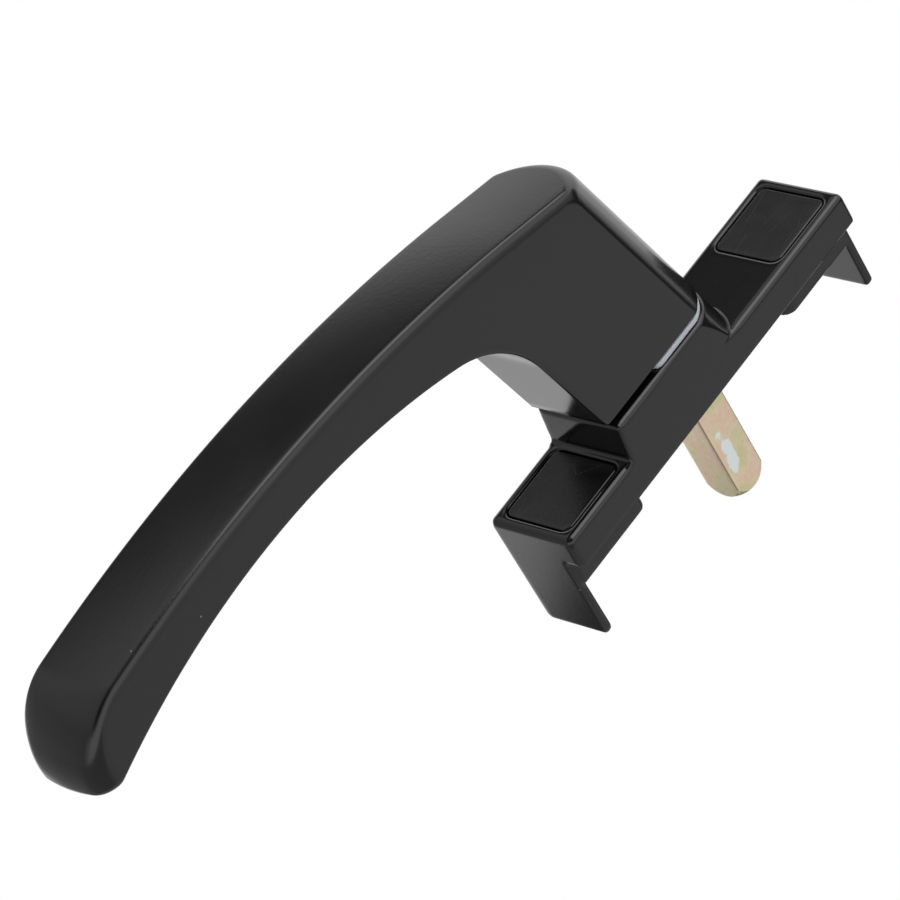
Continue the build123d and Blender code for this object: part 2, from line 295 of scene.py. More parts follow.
def new_material(slot: Slot) -> tuple[bpy.types.Material, ShaderTree, bpy.types.Node]:
    """Make a material with a Principled shader.

    Args:
        slot: The slot that the material fills.

    Returns:
        The material, its tree and the shader node.
    """
    material = bpy.data.materials.new(slot.value)
    material.use_nodes = True
    tree = ShaderTree(material.node_tree)
    shader = tree.node("BsdfPrincipled")
    tree.join(shader.outputs[0], tree.node("OutputMaterial").inputs["Surface"])
    return material, tree, shader


@dataclass(frozen=True)
class BlackCoat:
    """Stoved black coat on a die casting: fine orange peel, cloudy gloss, soft edges and a little dust."""

    slot: Slot = Slot.BLACK_COAT
    colour: Colour = (0.0045, 0.0045, 0.0049)
    dust_colour: Colour = (0.20, 0.20, 0.20)
    dust_scale: float = 260.0
    dust_size: float = 0.045
    dust_share: float = 0.16
    gloss_low: float = 0.16
    gloss_high: float = 0.22
    cloud_scale: float = 120.0
    peel_scale: float = 1400.0
    peel_depth: float = 0.014
    edge_round: float = 0.30
    edge_samples: int = 6

    def material(self) -> bpy.types.Material:
        """Make the material.

        Returns:
            The black coat.
        """
        material, tree, shader = new_material(self.slot)
        dust = tree.specks(self.dust_scale, self.dust_size, self.dust_share)
        tree.join(tree.mix(dust, self.colour, self.dust_colour), shader.inputs["Base Color"])
        cloud = tree.cloud(self.cloud_scale, self.gloss_low, self.gloss_high)
        tree.join(tree.math("MAXIMUM", cloud, dust), shader.inputs["Roughness"])
        peel = tree.bump(tree.noise(self.peel_scale), self.peel_depth, self.edge_round, self.edge_samples)
        tree.join(peel, shader.inputs["Normal"])
        return material


@dataclass(frozen=True)
class CapPlastic:
    """Black moulded plastic with a fine eroded grain and hairline scratches."""

    slot: Slot = Slot.CAP_BLACK
    colour: Colour = (0.0042, 0.0042, 0.0045)
    scratch_colour: Colour = (0.045, 0.045, 0.045)
    scratch_scale: float = 210.0
    scratch_width: float = 0.010
    scratch_shown: Span = (0.56, 0.62)
    scratch_stretch: Triple = (0.35, 1.0, 1.0)
    gloss_low: float = 0.21
    gloss_high: float = 0.33
    cloud_scale: float = 260.0
    grain_scale: float = 3000.0
    grain_depth: float = 0.03

    def material(self) -> bpy.types.Material:
        """Make the material.

        Returns:
            The black plastic.
        """
        material, tree, shader = new_material(self.slot)
        scratch = tree.hairlines(
            self.scratch_scale, self.scratch_width, self.scratch_shown, self.scratch_stretch
        )
        tree.join(tree.mix(scratch, self.colour, self.scratch_colour), shader.inputs["Base Color"])
        tree.join(tree.cloud(self.cloud_scale, self.gloss_low, self.gloss_high), shader.inputs["Roughness"])
        tree.join(tree.bump(tree.noise(self.grain_scale), self.grain_depth), shader.inputs["Normal"])
        return material


@dataclass(frozen=True)
class GreyPlastic:
    """Pale grey bearing plastic, slightly mottled, with a fine grain."""

    slot: Slot = Slot.GREY_PLASTIC
    pale: Colour = (0.44, 0.46, 0.51)
    deep: Colour = (0.36, 0.38, 0.43)
    mottle_scale: float = 500.0
    roughness: float = 0.5
    grain_scale: float = 3500.0
    grain_depth: float = 0.05
    edge_round: float = 0.15
    edge_samples: int = 4

    def material(self) -> bpy.types.Material:
        """Make the material.

        Returns:
            The grey plastic.
        """
        material, tree, shader = new_material(self.slot)
        shader.inputs["Roughness"].default_value = self.roughness
        mottle = tree.noise(self.mottle_scale, CLOUD_DETAIL)
        tree.join(tree.mix(mottle, self.deep, self.pale), shader.inputs["Base Color"])
        grain = tree.bump(tree.noise(self.grain_scale), self.grain_depth, self.edge_round, self.edge_samples)
        tree.join(grain, shader.inputs["Normal"])
        return material


@dataclass(frozen=True)
class YellowZinc:
    """Yellow passivated zinc: gold that shifts to pink and green, fine grain, worn to silver in front."""

    slot: Slot = Slot.YELLOW_ZINC
    gold: Colour = (0.90, 0.74, 0.48)
    pink: Colour = (0.92, 0.66, 0.50)
    green: Colour = (0.77, 0.71, 0.40)
    silver: Colour = (0.93, 1.0, 1.0)
    corner_dark: Colour = (0.20, 0.18, 0.13)
    tint_scale: float = 210.0
    tint_detail: float = 9.0
    tint_places: tuple[float, ...] = (0.36, 0.47, 0.55, 0.64)
    grain_scale: float = 1500.0
    grain_detail: float = 8.0
    grain_stretch: Triple = (1.0, 1.0, 0.7)
    grain_levels: Span = (0.35, 0.75)
    grain_share: float = 0.22
    gloss_low: float = 0.28
    gloss_high: float = 0.48
    cloud_scale: float = 700.0
    relief_scale: float = 2200.0
    relief_detail: float = 3.0
    relief_depth: float = 0.03
    wear_place: Triple = (-1.35, -3.5, -14.8)
    wear_size: Triple = (1.7, 0.6, 6.4)
    wear_reach: Span = (1.25, 0.15)
    wear_gain: float = 0.46
    wear_scale: float = 330.0
    wear_detail: float = 8.0
    wear_levels: Span = (0.70, 0.80)
    corner_line: Span = (3.20, 3.34)
    corner_dark_share: float = 0.8

    def material(self) -> bpy.types.Material:
        """Make the material.

        Returns:
            The yellow zinc plating.
        """
        material, tree, shader = new_material(self.slot)
        shader.inputs["Metallic"].default_value = 1.0
        colours = (self.green, self.gold, self.pink, self.gold)
        tint = tree.ramp(tree.noise(self.tint_scale, self.tint_detail), tuple(zip(self.tint_places, colours)))
        grain = tree.noise(self.grain_scale, self.grain_detail, self.grain_stretch)
        grain = tree.math("MULTIPLY", tree.band(grain, *self.grain_levels), self.grain_share)
        tree.join(self.worn(tree, tree.mix(grain, tint, self.silver)), shader.inputs["Base Color"])
        tree.join(tree.cloud(self.cloud_scale, self.gloss_low, self.gloss_high), shader.inputs["Roughness"])
        relief = tree.noise(self.relief_scale, self.relief_detail)
        tree.join(tree.bump(relief, self.relief_depth), shader.inputs["Normal"])
        return material

    def worn(self, tree: ShaderTree, tint: Socket) -> Socket:
        """Wear the middle of the front face to silver and leave a dark line in the corners.

        The worn place is an egg about its middle, and the dark line starts where the lesser of the distances
        along X and Y comes close to the square's half side.

        Args:
            tree: The material's tree.
            tint: The colour of the whole plating.

        Returns:
            The colour with its worn place and its darker corner line.
        """
        spot = tree.node("Mapping", vector_type="TEXTURE")
        spot.inputs["Location"].default_value = [value * MM for value in self.wear_place]
        spot.inputs["Scale"].default_value = [value * MM for value in self.wear_size]
        tree.join(tree.place(), spot.inputs["Vector"])
        reach = tree.node("VectorMath", operation="LENGTH")
        tree.join(spot.outputs[0], reach.inputs[0])
        near = tree.band(reach.outputs["Value"], *self.wear_reach)
        patch = tree.math("MULTIPLY_ADD", near, self.wear_gain, tree.noise(self.wear_scale, self.wear_detail))
        tint = tree.mix(tree.band(patch, *self.wear_levels), tint, self.silver)
        # The rounded corners of the bar get a darker line of colour.
        axes = tree.node("SeparateXYZ")
        tree.join(tree.place(), axes.inputs[0])
        across = tree.math("ABSOLUTE", axes.outputs["X"])
        along = tree.math("ABSOLUTE", axes.outputs["Y"])
        inner = tree.math("MINIMUM", across, along)
        corner = tree.band(inner, self.corner_line[0] * MM, self.corner_line[1] * MM)
        return tree.mix(tree.math("MULTIPLY", corner, self.corner_dark_share), tint, self.corner_dark)


@dataclass(frozen=True)
class Steel:
    """Plated or bare steel with a faint drawn grain and cloudy gloss."""

    slot: Slot
    pale: Colour
    deep: Colour
    gloss_low: float
    gloss_high: float
    grain_scale: float = 900.0
    grain_stretch: Triple = (0.15, 1.0, 1.0)
    cloud_scale: float = 300.0

    def material(self) -> bpy.types.Material:
        """Make the material.

        Returns:
            The steel.
        """
        material, tree, shader = new_material(self.slot)
        shader.inputs["Metallic"].default_value = 1.0
        grain = tree.noise(self.grain_scale, CLOUD_DETAIL, self.grain_stretch)
        tree.join(tree.mix(grain, self.deep, self.pale), shader.inputs["Base Color"])
        tree.join(tree.cloud(self.cloud_scale, self.gloss_low, self.gloss_high), shader.inputs["Roughness"])
        return material


def add_object(name: str, data: bpy.types.ID) -> bpy.types.Object:
    """Put an object in the scene.

    Args:
        name: The object's name.
        data: Its mesh or camera.

    Returns:
        The object.
    """
    made = bpy.data.objects.new(name, data)
    bpy.context.scene.collection.objects.link(made)
    return made


class PieceMesh:
    """Gathers the surfaces of one piece, in millimetres, and makes its object."""

    def __init__(self, name: str) -> None:
        """Start an empty piece.

        Args:
            name: The piece's name.
        """
        self.name = name
        self.points: list[np.ndarray] = []
        self.faces: list[list[int]] = []
        self.count = 0

    def add_points(self, points: np.ndarray) -> np.ndarray:
        """Keep points.

        Args:
            points: Places, with the three coordinates last.

        Returns:
            The points' numbers, in the shape of their grid.
        """
        numbers = np.arange(self.count, self.count + points[..., 0].size).reshape(points.shape[:-1])
        self.points.append(points.reshape(-1, 3))
        self.count += numbers.size
        return numbers

    def add_grid(
        self, points: np.ndarray, closed_rows: bool = False, closed_columns: bool = False
    ) -> np.ndarray:
        """Add a grid of points and a four-sided face between each four neighbours.

        The outer side of a face is where the step along a row, crossed with the step to the next row, points.

        Args:
            points: The grid's places, rows first.
            closed_rows: Whether the last row meets the first.
            closed_columns: Whether the last column meets the first.

        Returns:
            The points' numbers.
        """
        numbers = self.add_points(points)
        loop = np.concatenate([numbers, numbers[:1]]) if closed_rows else numbers
        loop = np.concatenate([loop, loop[:, :1]], axis=1) if closed_columns else loop
        quads = np.stack([loop[:-1, :-1], loop[:-1, 1:], loop[1:, 1:], loop[1:, :-1]], axis=-1)
        self.faces += quads.reshape(-1, 4).tolist()
        return numbers

    def add_lid(self, ring: np.ndarray) -> None:
        """Close a ring of points with one flat face."""
        self.faces.append(ring.tolist())

    def build(
        self, material: bpy.types.Material, slot: Slot, body: Body, stands_for: str, sharp: float = 40.0
    ) -> bpy.types.Object:
        """Make the object, dress it and let it ride on its body.

        Args:
            material: The finish.
            slot: The record's slot of that finish; not used.
            body: The body that carries the piece.
            stands_for: The CAD node that it replaces.
            sharp: The angle, in degrees, above which an edge stays sharp.

        Returns:
            The object.
        """
        mesh = bpy.data.meshes.new(self.name)
        mesh.from_pydata((np.concatenate(self.points) * MM).tolist(), [], self.faces)
        mesh.validate()
        mesh.polygons.foreach_set("use_smooth", np.ones(len(mesh.polygons), dtype=bool))
        mesh.set_sharp_from_angle(angle=radians(sharp))
        mesh.materials.append(material)
        piece = add_object(self.name, mesh)
        weights = piece.modifiers.new("flat_faces_first", "WEIGHTED_NORMAL")
        weights.keep_sharp = True
        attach(piece, body.value)
        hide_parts(stands_for)
        LOG.info("%s: %d points in %s", self.name, len(mesh.vertices), material.name)
        return piece


def rounded_box_outline(length: float, width: float, radius: float, steps: int) -> np.ndarray:
    """Work out a rectangle with round corners, counter-clockwise.

    Each corner is a quarter circle about a point that lies one radius inside both sides, and each straight
    side runs from the end of one quarter circle to the start of the next.

    Args:
        length: Size along X.
        width: Size along Y.
        radius: Corner radius.
        steps: Steps in each corner, and twice as many in each straight side.

    Returns:
        Points (x, y).
    """
    turn = np.linspace(0.0, pi / 2, steps + 1)
    quarter = np.arange(4)[:, None]
    centre_x = np.array([1.0, -1.0, -1.0, 1.0])[:, None] * (length / 2 - radius)
    centre_y = np.array([1.0, 1.0, -1.0, -1.0])[:, None] * (width / 2 - radius)
    angle = quarter * pi / 2 + turn
    corners = np.stack([centre_x + radius * np.cos(angle), centre_y + radius * np.sin(angle)], axis=-1)
    share = np.linspace(0.0, 1.0, 2 * steps + 1)[1:-1, None]
    sides = corners[:, -1:] + (np.roll(corners[:, :1], -1, axis=0) - corners[:, -1:]) * share
    return np.concatenate([corners, sides], axis=1).reshape(-1, 2)


def steps_to(count: int) -> np.ndarray:
    """Give a column of count shares from 0 up to, but without, 1."""
    return np.linspace(0.0, 1.0, count, endpoint=False)[:, None]


@dataclass
class LeverCasting:
    """The lever: a closed outline in the XZ plane for every place across its width, with rounded long edges.

    A column at y takes the outline of the middle and sets it back by the depth of the edge rounding at that
    y, so top, tip, belly, arch and neck all run into the flat sides through a quarter round. The foot's edge
    is a chamfer in front and behind and a quarter round at the sides.
    """

    half_width: float = 8.3
    foot: float = 14.08
    foot_edge: float = 0.45
    neck_back: float = 21.2
    nose_radius: float = 8.9
    crease_radius: float = 1.5
    lean: float = 14.7
    elbow_height: float = 49.14
    elbow_radius: float = 3.3
    rise: float = 13.15
    straight: float = 18.0
    top_radius: float = 273.0
    thickness: float = 8.4
    belly_radius: float = 128.5
    arch_radius: float = 19.2
    tip: float = 124.75
    tip_round: float = 12.0
    tip_corner: float = 3.7
    tip_bow: float = 32.0
    tip_under: float = 1.4
    corner_tightens: float = 1.1
    ridge_tightens: float = 0.8
    under_tightens: float = 0.25
    ridge: float = 1.0
    ridge_drop: float = 2.2
    crown: float = 260.0
    under: float = 0.65
    hub_reach: float = 5.8
    hub_skin: float = 0.25
    hub_top: float = 14.55
    socket_top: float = 24.2
    level_slack: float = 0.01
    corner_steps: int = 10
    flat_steps: int = 16
    neck_steps: int = 16
    elbow_steps: int = 16
    straight_steps: int = 12
    bow_steps: int = 40
    over_steps: int = 26
    end_steps: int = 4
    lower_steps: int = 8
    belly_steps: int = 44
    arch_steps: int = 24
    back_steps: int = 10
    foot_steps: int = 10

    def __post_init__(self) -> None:
        """Work out the directions, centres and bend points that the sizes give."""
        lean, rise = radians(self.lean), radians(self.rise)
        self.up_neck = np.array([-sin(lean), cos(lean)])
        self.into_neck = np.array([-cos(lean), -sin(lean)])
        self.elbow_turn = pi / 2 - rise - lean
        self.along_top = np.array([-cos(rise), sin(rise)])
        self.into_top = np.array([-sin(rise), -cos(rise)])
        self.top_start = pi / 2 - rise
        self.bend = np.array([-self.straight, self.elbow_height + self.straight * tan(rise)])
        self.top_centre = self.bend - self.top_radius * np.array([sin(rise), cos(rise)])
        apex = self.top_centre + np.array([0.0, self.top_radius])
        self.belly_centre = apex - np.array([0.0, self.thickness + self.belly_radius])
        self.back_foot = np.array([-self.neck_back, self.foot])
        start = self.back_foot + self.arch_radius * self.into_neck
        from_belly = start - self.belly_centre
        half = from_belly @ self.up_neck
        reach = self.belly_radius - self.arch_radius
        rise_to_arch = np.sqrt(half**2 - from_belly @ from_belly + reach**2) - half
        self.arch_centre = start + self.up_neck * rise_to_arch
        self.arch_start = np.arctan2(*(self.arch_centre - self.belly_centre)[::-1])

    def set_back(self, y: np.ndarray, radius: float) -> np.ndarray:
        """Depth of a quarter round at y: the radius less the height of its circle, zero on the flat part."""
        past = np.clip(np.abs(y) - (self.half_width - radius), 0.0, radius)
        return radius - np.sqrt(np.maximum(radius**2 - past**2, 0.0))

    def top_set_back(self, y: np.ndarray) -> np.ndarray:
        """Depth of the top at y: its crown, and at the ridge a quarter ellipse that is long down the side."""
        return y**2 / (2 * self.crown) + self.set_back(y, self.ridge) * self.ridge_drop / self.ridge

    def nose_reach(self, y: np.ndarray) -> np.ndarray:
        """Work out the neck's front: one wide circle about the axis, run into the sides by a small circle.

        Args:
            y: Places across the lever.

        Returns:
            The x of the front at the foot's level.
        """
        wide, small, inner = self.nose_radius, self.crease_radius, self.half_width - self.crease_radius
        centre = np.sqrt((wide - small) ** 2 - inner**2)
        side = np.abs(y)
        front = np.sqrt(np.maximum(wide**2 - side**2, 0.0))
        crease = centre + np.sqrt(np.maximum(small**2 - (side - inner) ** 2, 0.0))
        return np.where(side < inner * wide / (wide - small), front, crease)

    def columns(self, radius: np.ndarray) -> np.ndarray:
        """Spread places across the lever: even steps of angle in the two rounds, even steps between them.

        Args:
            radius: Radius of the edge rounding in each row.

        Returns:
            The y of each row and column.
        """
        radius = np.asarray(radius, dtype=float).reshape(-1, 1)
        turn = np.linspace(0.0, pi / 2, self.corner_steps + 1)
        side = self.half_width - radius + radius * np.sin(turn)
        flat = (self.half_width - radius) * np.linspace(-1.0, 1.0, self.flat_steps + 1)[1:-1]
        return np.concatenate([-side[:, ::-1], flat, side], axis=1)

    def rows(self, count: int, first: float, last: float) -> tuple[np.ndarray, np.ndarray]:
        """Start rows whose edge rounding runs from one radius to another.

        Args:
            count: Number of rows.
            first: Radius in the first row.
            last: Radius that the row after the last one has.

        Returns:
            The share of the way at each row, and the y of each row and column.
        """
        share = steps_to(count)
        return share, self.columns(first + (last - first) * share)

    def elbow(self, y: np.ndarray) -> tuple[np.ndarray, np.ndarray]:
        """Find where the front of the neck would meet the top.

        The neck line starts at its reach on the foot's level and leans back. The top line is set back by its
        rounding, and the corner is where the two cross.

        Args:
            y: Places across the lever.

        Returns:
            The neck line's start and the corner.
        """
        start = np.stack([self.nose_reach(y), np.full_like(y, self.foot)], axis=-1)
        top = np.array([0.0, self.elbow_height]) + self.top_set_back(y)[..., None] * self.into_top
        gap = start - top
        cross = self.up_neck[0] * self.along_top[1] - self.along_top[0] * self.up_neck[1]
        run = (self.up_neck[0] * gap[..., 1] - self.up_neck[1] * gap[..., 0]) / cross
        return start, top + run[..., None] * self.along_top

    def tip_circles(self, y: np.ndarray) -> dict[str, np.ndarray]:
        """Find the arcs that turn the top into the end face and the end face into the belly.

        The end face bows out and has round corners in plan. Both arcs touch it and the set-back top or belly
        circle, and they get tighter where the corner draws the end face in.

        Args:
            y: Places across the lever.

        Returns:
            The end face, both radii, the two centre heights and the angles at which they leave top and belly.
        """
        corner = self.set_back(y, self.tip_corner)
        end = -self.tip + y**2 / (2 * self.tip_bow) + corner
        upper = self.tip_round - self.corner_tightens * corner - self.ridge_tightens * self.top_set_back(y)
        lower = self.tip_under - self.under_tightens * corner
        top = self.top_radius - self.top_set_back(y)
        belly = self.belly_radius + self.set_back(y, self.under)
        upper_x, lower_x = end + upper - self.top_centre[0], end + lower - self.belly_centre[0]
        upper_z = np.sqrt((top - upper) ** 2 - upper_x**2)
        lower_z = np.sqrt((belly + lower) ** 2 - lower_x**2)
        return {
            "end": end, "upper": upper, "lower": lower, "top": top, "belly": belly,
            "upper_height": self.top_centre[1] + upper_z, "lower_height": self.belly_centre[1] + lower_z,
            "top_end": np.arctan2(upper_z, upper_x), "belly_start": np.arctan2(lower_z, lower_x),
        }

    @staticmethod
    def arc(centre: np.ndarray, radius: np.ndarray | float, angle: np.ndarray) -> np.ndarray:
        """Points at an angle round a centre: the centre plus the radius times cosine and sine."""
        return np.asarray(centre) + np.stack([radius * np.cos(angle), radius * np.sin(angle)], axis=-1)

    @staticmethod
    def line(start: np.ndarray, end: np.ndarray, share: np.ndarray) -> np.ndarray:
        """Points part of the way from start to end."""
        return start + (end - start) * share[..., None]

    def front_rows(self) -> Rows:
        """Work out the rows up the neck's front, round the elbow and along the straight part of the top.

        Returns:
            Pairs of outline points (x, z) and their y.
        """
        taken = self.elbow_radius * tan(self.elbow_turn / 2)
        share, y = self.rows(self.neck_steps, self.crease_radius, self.ridge)
        start, corner = self.elbow(y)
        foot = start + self.up_neck * (self.foot_edge / self.up_neck[1])
        neck = (self.line(foot, corner - self.up_neck * taken, share), y)
        share, y = self.rows(self.elbow_steps, self.ridge, self.ridge)
        angle = (self.elbow_turn * share)[..., None]
        bent = self.into_neck * (1 - np.cos(angle)) + self.up_neck * np.sin(angle)
        elbow = (self.elbow(y)[1] - self.up_neck * taken + self.elbow_radius * bent, y)
        share, y = self.rows(self.straight_steps, self.ridge, self.ridge)
        end = self.bend + self.top_set_back(y)[..., None] * self.into_top
        top = (self.line(self.elbow(y)[1] + self.along_top * taken, end, share), y)
        return [neck, elbow, top]

    def tip_rows(self) -> Rows:
        """Work out the rows along the bowed top, over the tip, down its end and under its lower edge.

        Returns:
            Pairs of outline points (x, z) and their y.
        """
        share, y = self.rows(self.bow_steps, self.ridge, self.ridge)
        tip = self.tip_circles(y)
        angle = self.top_start + (tip["top_end"] - self.top_start) * share
        bow = (self.arc(self.top_centre, tip["top"], angle), y)
        share, y = self.rows(self.over_steps, self.ridge, self.tip_corner)
        tip = self.tip_circles(y)
        centre = np.stack([tip["end"] + tip["upper"], tip["upper_height"]], axis=-1)
        over = (self.arc(centre, tip["upper"], tip["top_end"] + (pi - tip["top_end"]) * share), y)
        share, y = self.rows(self.end_steps, self.tip_corner, self.tip_corner)
        tip = self.tip_circles(y)
        fall = tip["upper_height"] + (tip["lower_height"] - tip["upper_height"]) * share
        end = (np.stack([tip["end"], fall], axis=-1), y)
        share, y = self.rows(self.lower_steps, self.tip_corner, self.under)
        tip = self.tip_circles(y)
        centre = np.stack([tip["end"] + tip["lower"], tip["lower_height"]], axis=-1)
        lower = (self.arc(centre, tip["lower"], pi + tip["belly_start"] * share), y)
        return [bow, over, end, lower]

    def back_of_foot(self, y: np.ndarray) -> np.ndarray:
        """Find where the neck's leaning back comes down to the foot's chamfer.

        Args:
            y: Places across the lever.

        Returns:
            Points (x, z).
        """
        end = self.back_foot - self.set_back(y, self.under)[..., None] * self.into_neck
        return end + self.up_neck * ((self.foot + self.foot_edge - end[..., 1:]) / self.up_neck[1])

    def belly_rows(self) -> Rows:
        """Work out the rows along the belly, round the arch, down the neck's back and across the foot.

        Returns:
            Pairs of outline points (x, z) and their y.
        """
        share, y = self.rows(self.belly_steps, self.under, self.under)
        tip = self.tip_circles(y)
        angle = tip["belly_start"] + (self.arch_start - tip["belly_start"]) * share
        belly = (self.arc(self.belly_centre, tip["belly"], angle), y)
        share, y = self.rows(self.arch_steps, self.under, self.under)
        angle = np.broadcast_to(self.arch_start + (radians(self.lean) - self.arch_start) * share, y.shape)
        arch = (self.arc(self.arch_centre, self.arch_radius + self.set_back(y, self.under), angle), y)
        share, y = self.rows(self.back_steps, self.under, self.under)
        depth = self.set_back(y, self.under)[..., None]
        start = self.arch_centre - (self.arch_radius + depth) * self.into_neck
        neck = (self.line(start, self.back_of_foot(y), share), y)
        last = self.columns(np.full(1, self.under))
        share = np.linspace(0.0, 1.0, self.foot_steps)[:, None]
        y = self.columns(self.under + (self.crease_radius - self.under) * share)
        back = self.set_back(y, self.under) + self.foot_edge - self.neck_back
        front = self.nose_reach(y) - self.foot_edge
        height = self.foot + self.set_back(y, self.foot_edge)
        foot = (np.stack([back + (front - back) * share, height], axis=-1), y)
        return [belly, arch, neck, (self.back_of_foot(last), last), foot]

    def hub(self) -> tuple[np.ndarray, np.ndarray]:
        """Take the hub below the neck, with its groove, flats and square socket, from the CAD lever.

        The hub's skin ends at the foot of the CAD neck, and the socket inside goes further up.

        Returns:
            The hub's points, merged, and its triangles.
        """
        points, triangles = cad_surface("lever")
        reach = np.hypot(points[..., 0], points[..., 1])[triangles].max(axis=1)
        height = points[..., 2][triangles].max(axis=1)
        skin = reach > self.hub_reach - self.hub_skin
        limit = np.where(skin, self.hub_top + self.level_slack, self.socket_top)
        kept = triangles[(reach < self.hub_reach) & (height < limit)]
        used, numbers = np.unique(kept, return_inverse=True)
        return points[used], numbers.reshape(-1, 3)

    def build(self, coat: bpy.types.Material) -> bpy.types.Object:
        """Build the casting with its hub.

        Args:
            coat: The black coat.

        Returns:
            The finished piece.
        """
        piece = PieceMesh("lever_casting")
        rows = self.front_rows() + self.tip_rows() + self.belly_rows()
        outline = np.concatenate([points for points, _ in rows])
        across = np.concatenate([y for _, y in rows])
        grid = np.stack([outline[..., 0], across, outline[..., 1]], axis=-1)
        numbers = piece.add_grid(grid, closed_rows=True)
        piece.add_lid(numbers[:, 0])
        piece.add_lid(numbers[::-1, -1])
        points, triangles = self.hub()
        ring = np.flatnonzero(np.abs(points[:, 2] - self.hub_top) < self.level_slack)
        ring = ring[np.argsort(np.arctan2(points[ring, 1], points[ring, 0]))]
        hub = piece.add_points(points)
        piece.faces += hub[triangles].tolist()
        piece.add_lid(hub[ring])
        return piece.build(coat, Slot.BLACK_COAT, Body.LEVER, "lever")


def cad_surface(node: str) -> tuple[np.ndarray, np.ndarray]:
    """Read a CAD node's surface and merge the points that its faces share.

    Args:
        node: The node's name.

    Returns:
        Points in millimetres and triangles of point numbers.
    """
    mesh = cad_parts[node].data
    points = np.empty(3 * len(mesh.vertices))
    mesh.vertices.foreach_get("co", points)
    corners = np.empty(len(mesh.loops), dtype=np.int64)
    mesh.loops.foreach_get("vertex_index", corners)
    places, numbers = np.unique(np.round(points.reshape(-1, 3) / MM, 4), axis=0, return_inverse=True)
    triangles = numbers.reshape(-1)[corners].reshape(-1, 3)
    apart = (triangles != np.roll(triangles, 1, axis=1)).all(axis=1)
    return places, triangles[apart]


@dataclass
class BaseCasting:
    """The base: the CAD casting with soft creases and round long edges, as thick stoved paint leaves them.

    Along X, heights gives the level of the pads, the steep ends and the plateau, and roundings gives the
    radius of the long upper edges.
    """

    grid: float = 0.3
    passes: int = 7
    share: float = 0.5
    draw_in: float = 0.9998
    half_length: float = 38.35
    half_width: float = 8.75
    stand_out: float = 0.2
    heights: Stops = ((-21.1, 6.1), (-20.2, 12.9), (0.5, 12.9), (2.0, 6.1))
    roundings: Stops = (
        (-22.2, 1.2), (-21.2, 0.2), (-20.1, 0.2), (-19.0, 1.2), (-11.0, 1.2), (0.4, 0.3),
        (0.5, 0.0), (4.0, 0.0), (9.0, 1.1),
    )

    def build(self, coat: bpy.types.Material) -> bpy.types.Object:
        """Build the softened casting.

        The CAD surface is cut anew on an even grid, and each pass moves every point part of the way to the
        middle of its neighbours, so flat faces stay where they are and edges turn round.

        Args:
            coat: The black coat.

        Returns:
            The finished piece.
        """
        piece = PieceMesh("base_casting")
        points, triangles = cad_surface("base")
        piece.faces += piece.add_points(points * self.draw_in)[triangles].tolist()
        base = piece.build(coat, Slot.BLACK_COAT, Body.BASE, "base")
        base.modifiers.clear()
        even = base.modifiers.new("even_grid", "REMESH")
        even.mode = "VOXEL"
        even.voxel_size = self.grid * MM
        even.use_smooth_shade = True
        soft = base.modifiers.new("soft_edges", "SMOOTH")
        soft.factor = self.share
        soft.iterations = self.passes
        self.round_edges(base)
        return base

    def round_edges(self, base: bpy.types.Object) -> None:
        """Settle the modifiers, then round the long upper edges and the ends of the pads.

        Seen from the middle, each point has three reaches past a box that is smaller by the rounding: along,
        across and up to the height of the pad or plateau. A point whose joint reach is longer than the
        rounding is drawn back on to it, which turns the corner of the box into a quarter round.

        Args:
            base: The casting with its live modifiers.
        """
        graph = bpy.context.evaluated_depsgraph_get()
        mesh = bpy.data.meshes.new_from_object(base.evaluated_get(graph))
        points = np.empty(3 * len(mesh.vertices))
        mesh.vertices.foreach_get("co", points)
        points = points.reshape(-1, 3) / MM
        top = np.interp(points[:, 0], *np.transpose(self.heights))
        rounding = np.interp(points[:, 0], *np.transpose(self.roundings))
        half_length, half_width = np.full_like(top, self.half_length), np.full_like(top, self.half_width)
        inner = np.stack([half_length, half_width, top], axis=-1) - rounding[:, None]
        sides = np.sign(points)
        reach = np.maximum(points * sides - inner, 0.0)
        reach[points[:, 2] < 0, 2] = 0.0
        long = np.linalg.norm(reach, axis=1)
        outside = (long > rounding) & (reach[:, 2] > 0) & (reach[:, 2] < rounding + self.stand_out)
        drawn = (inner + reach * (rounding / np.maximum(long, TINY))[:, None]) * sides
        points = np.where(outside[:, None] & (reach > 0), drawn, points)
        mesh.vertices.foreach_set("co", (points * MM).ravel())
        mesh.update()
        base.modifiers.clear()
        base.data = mesh


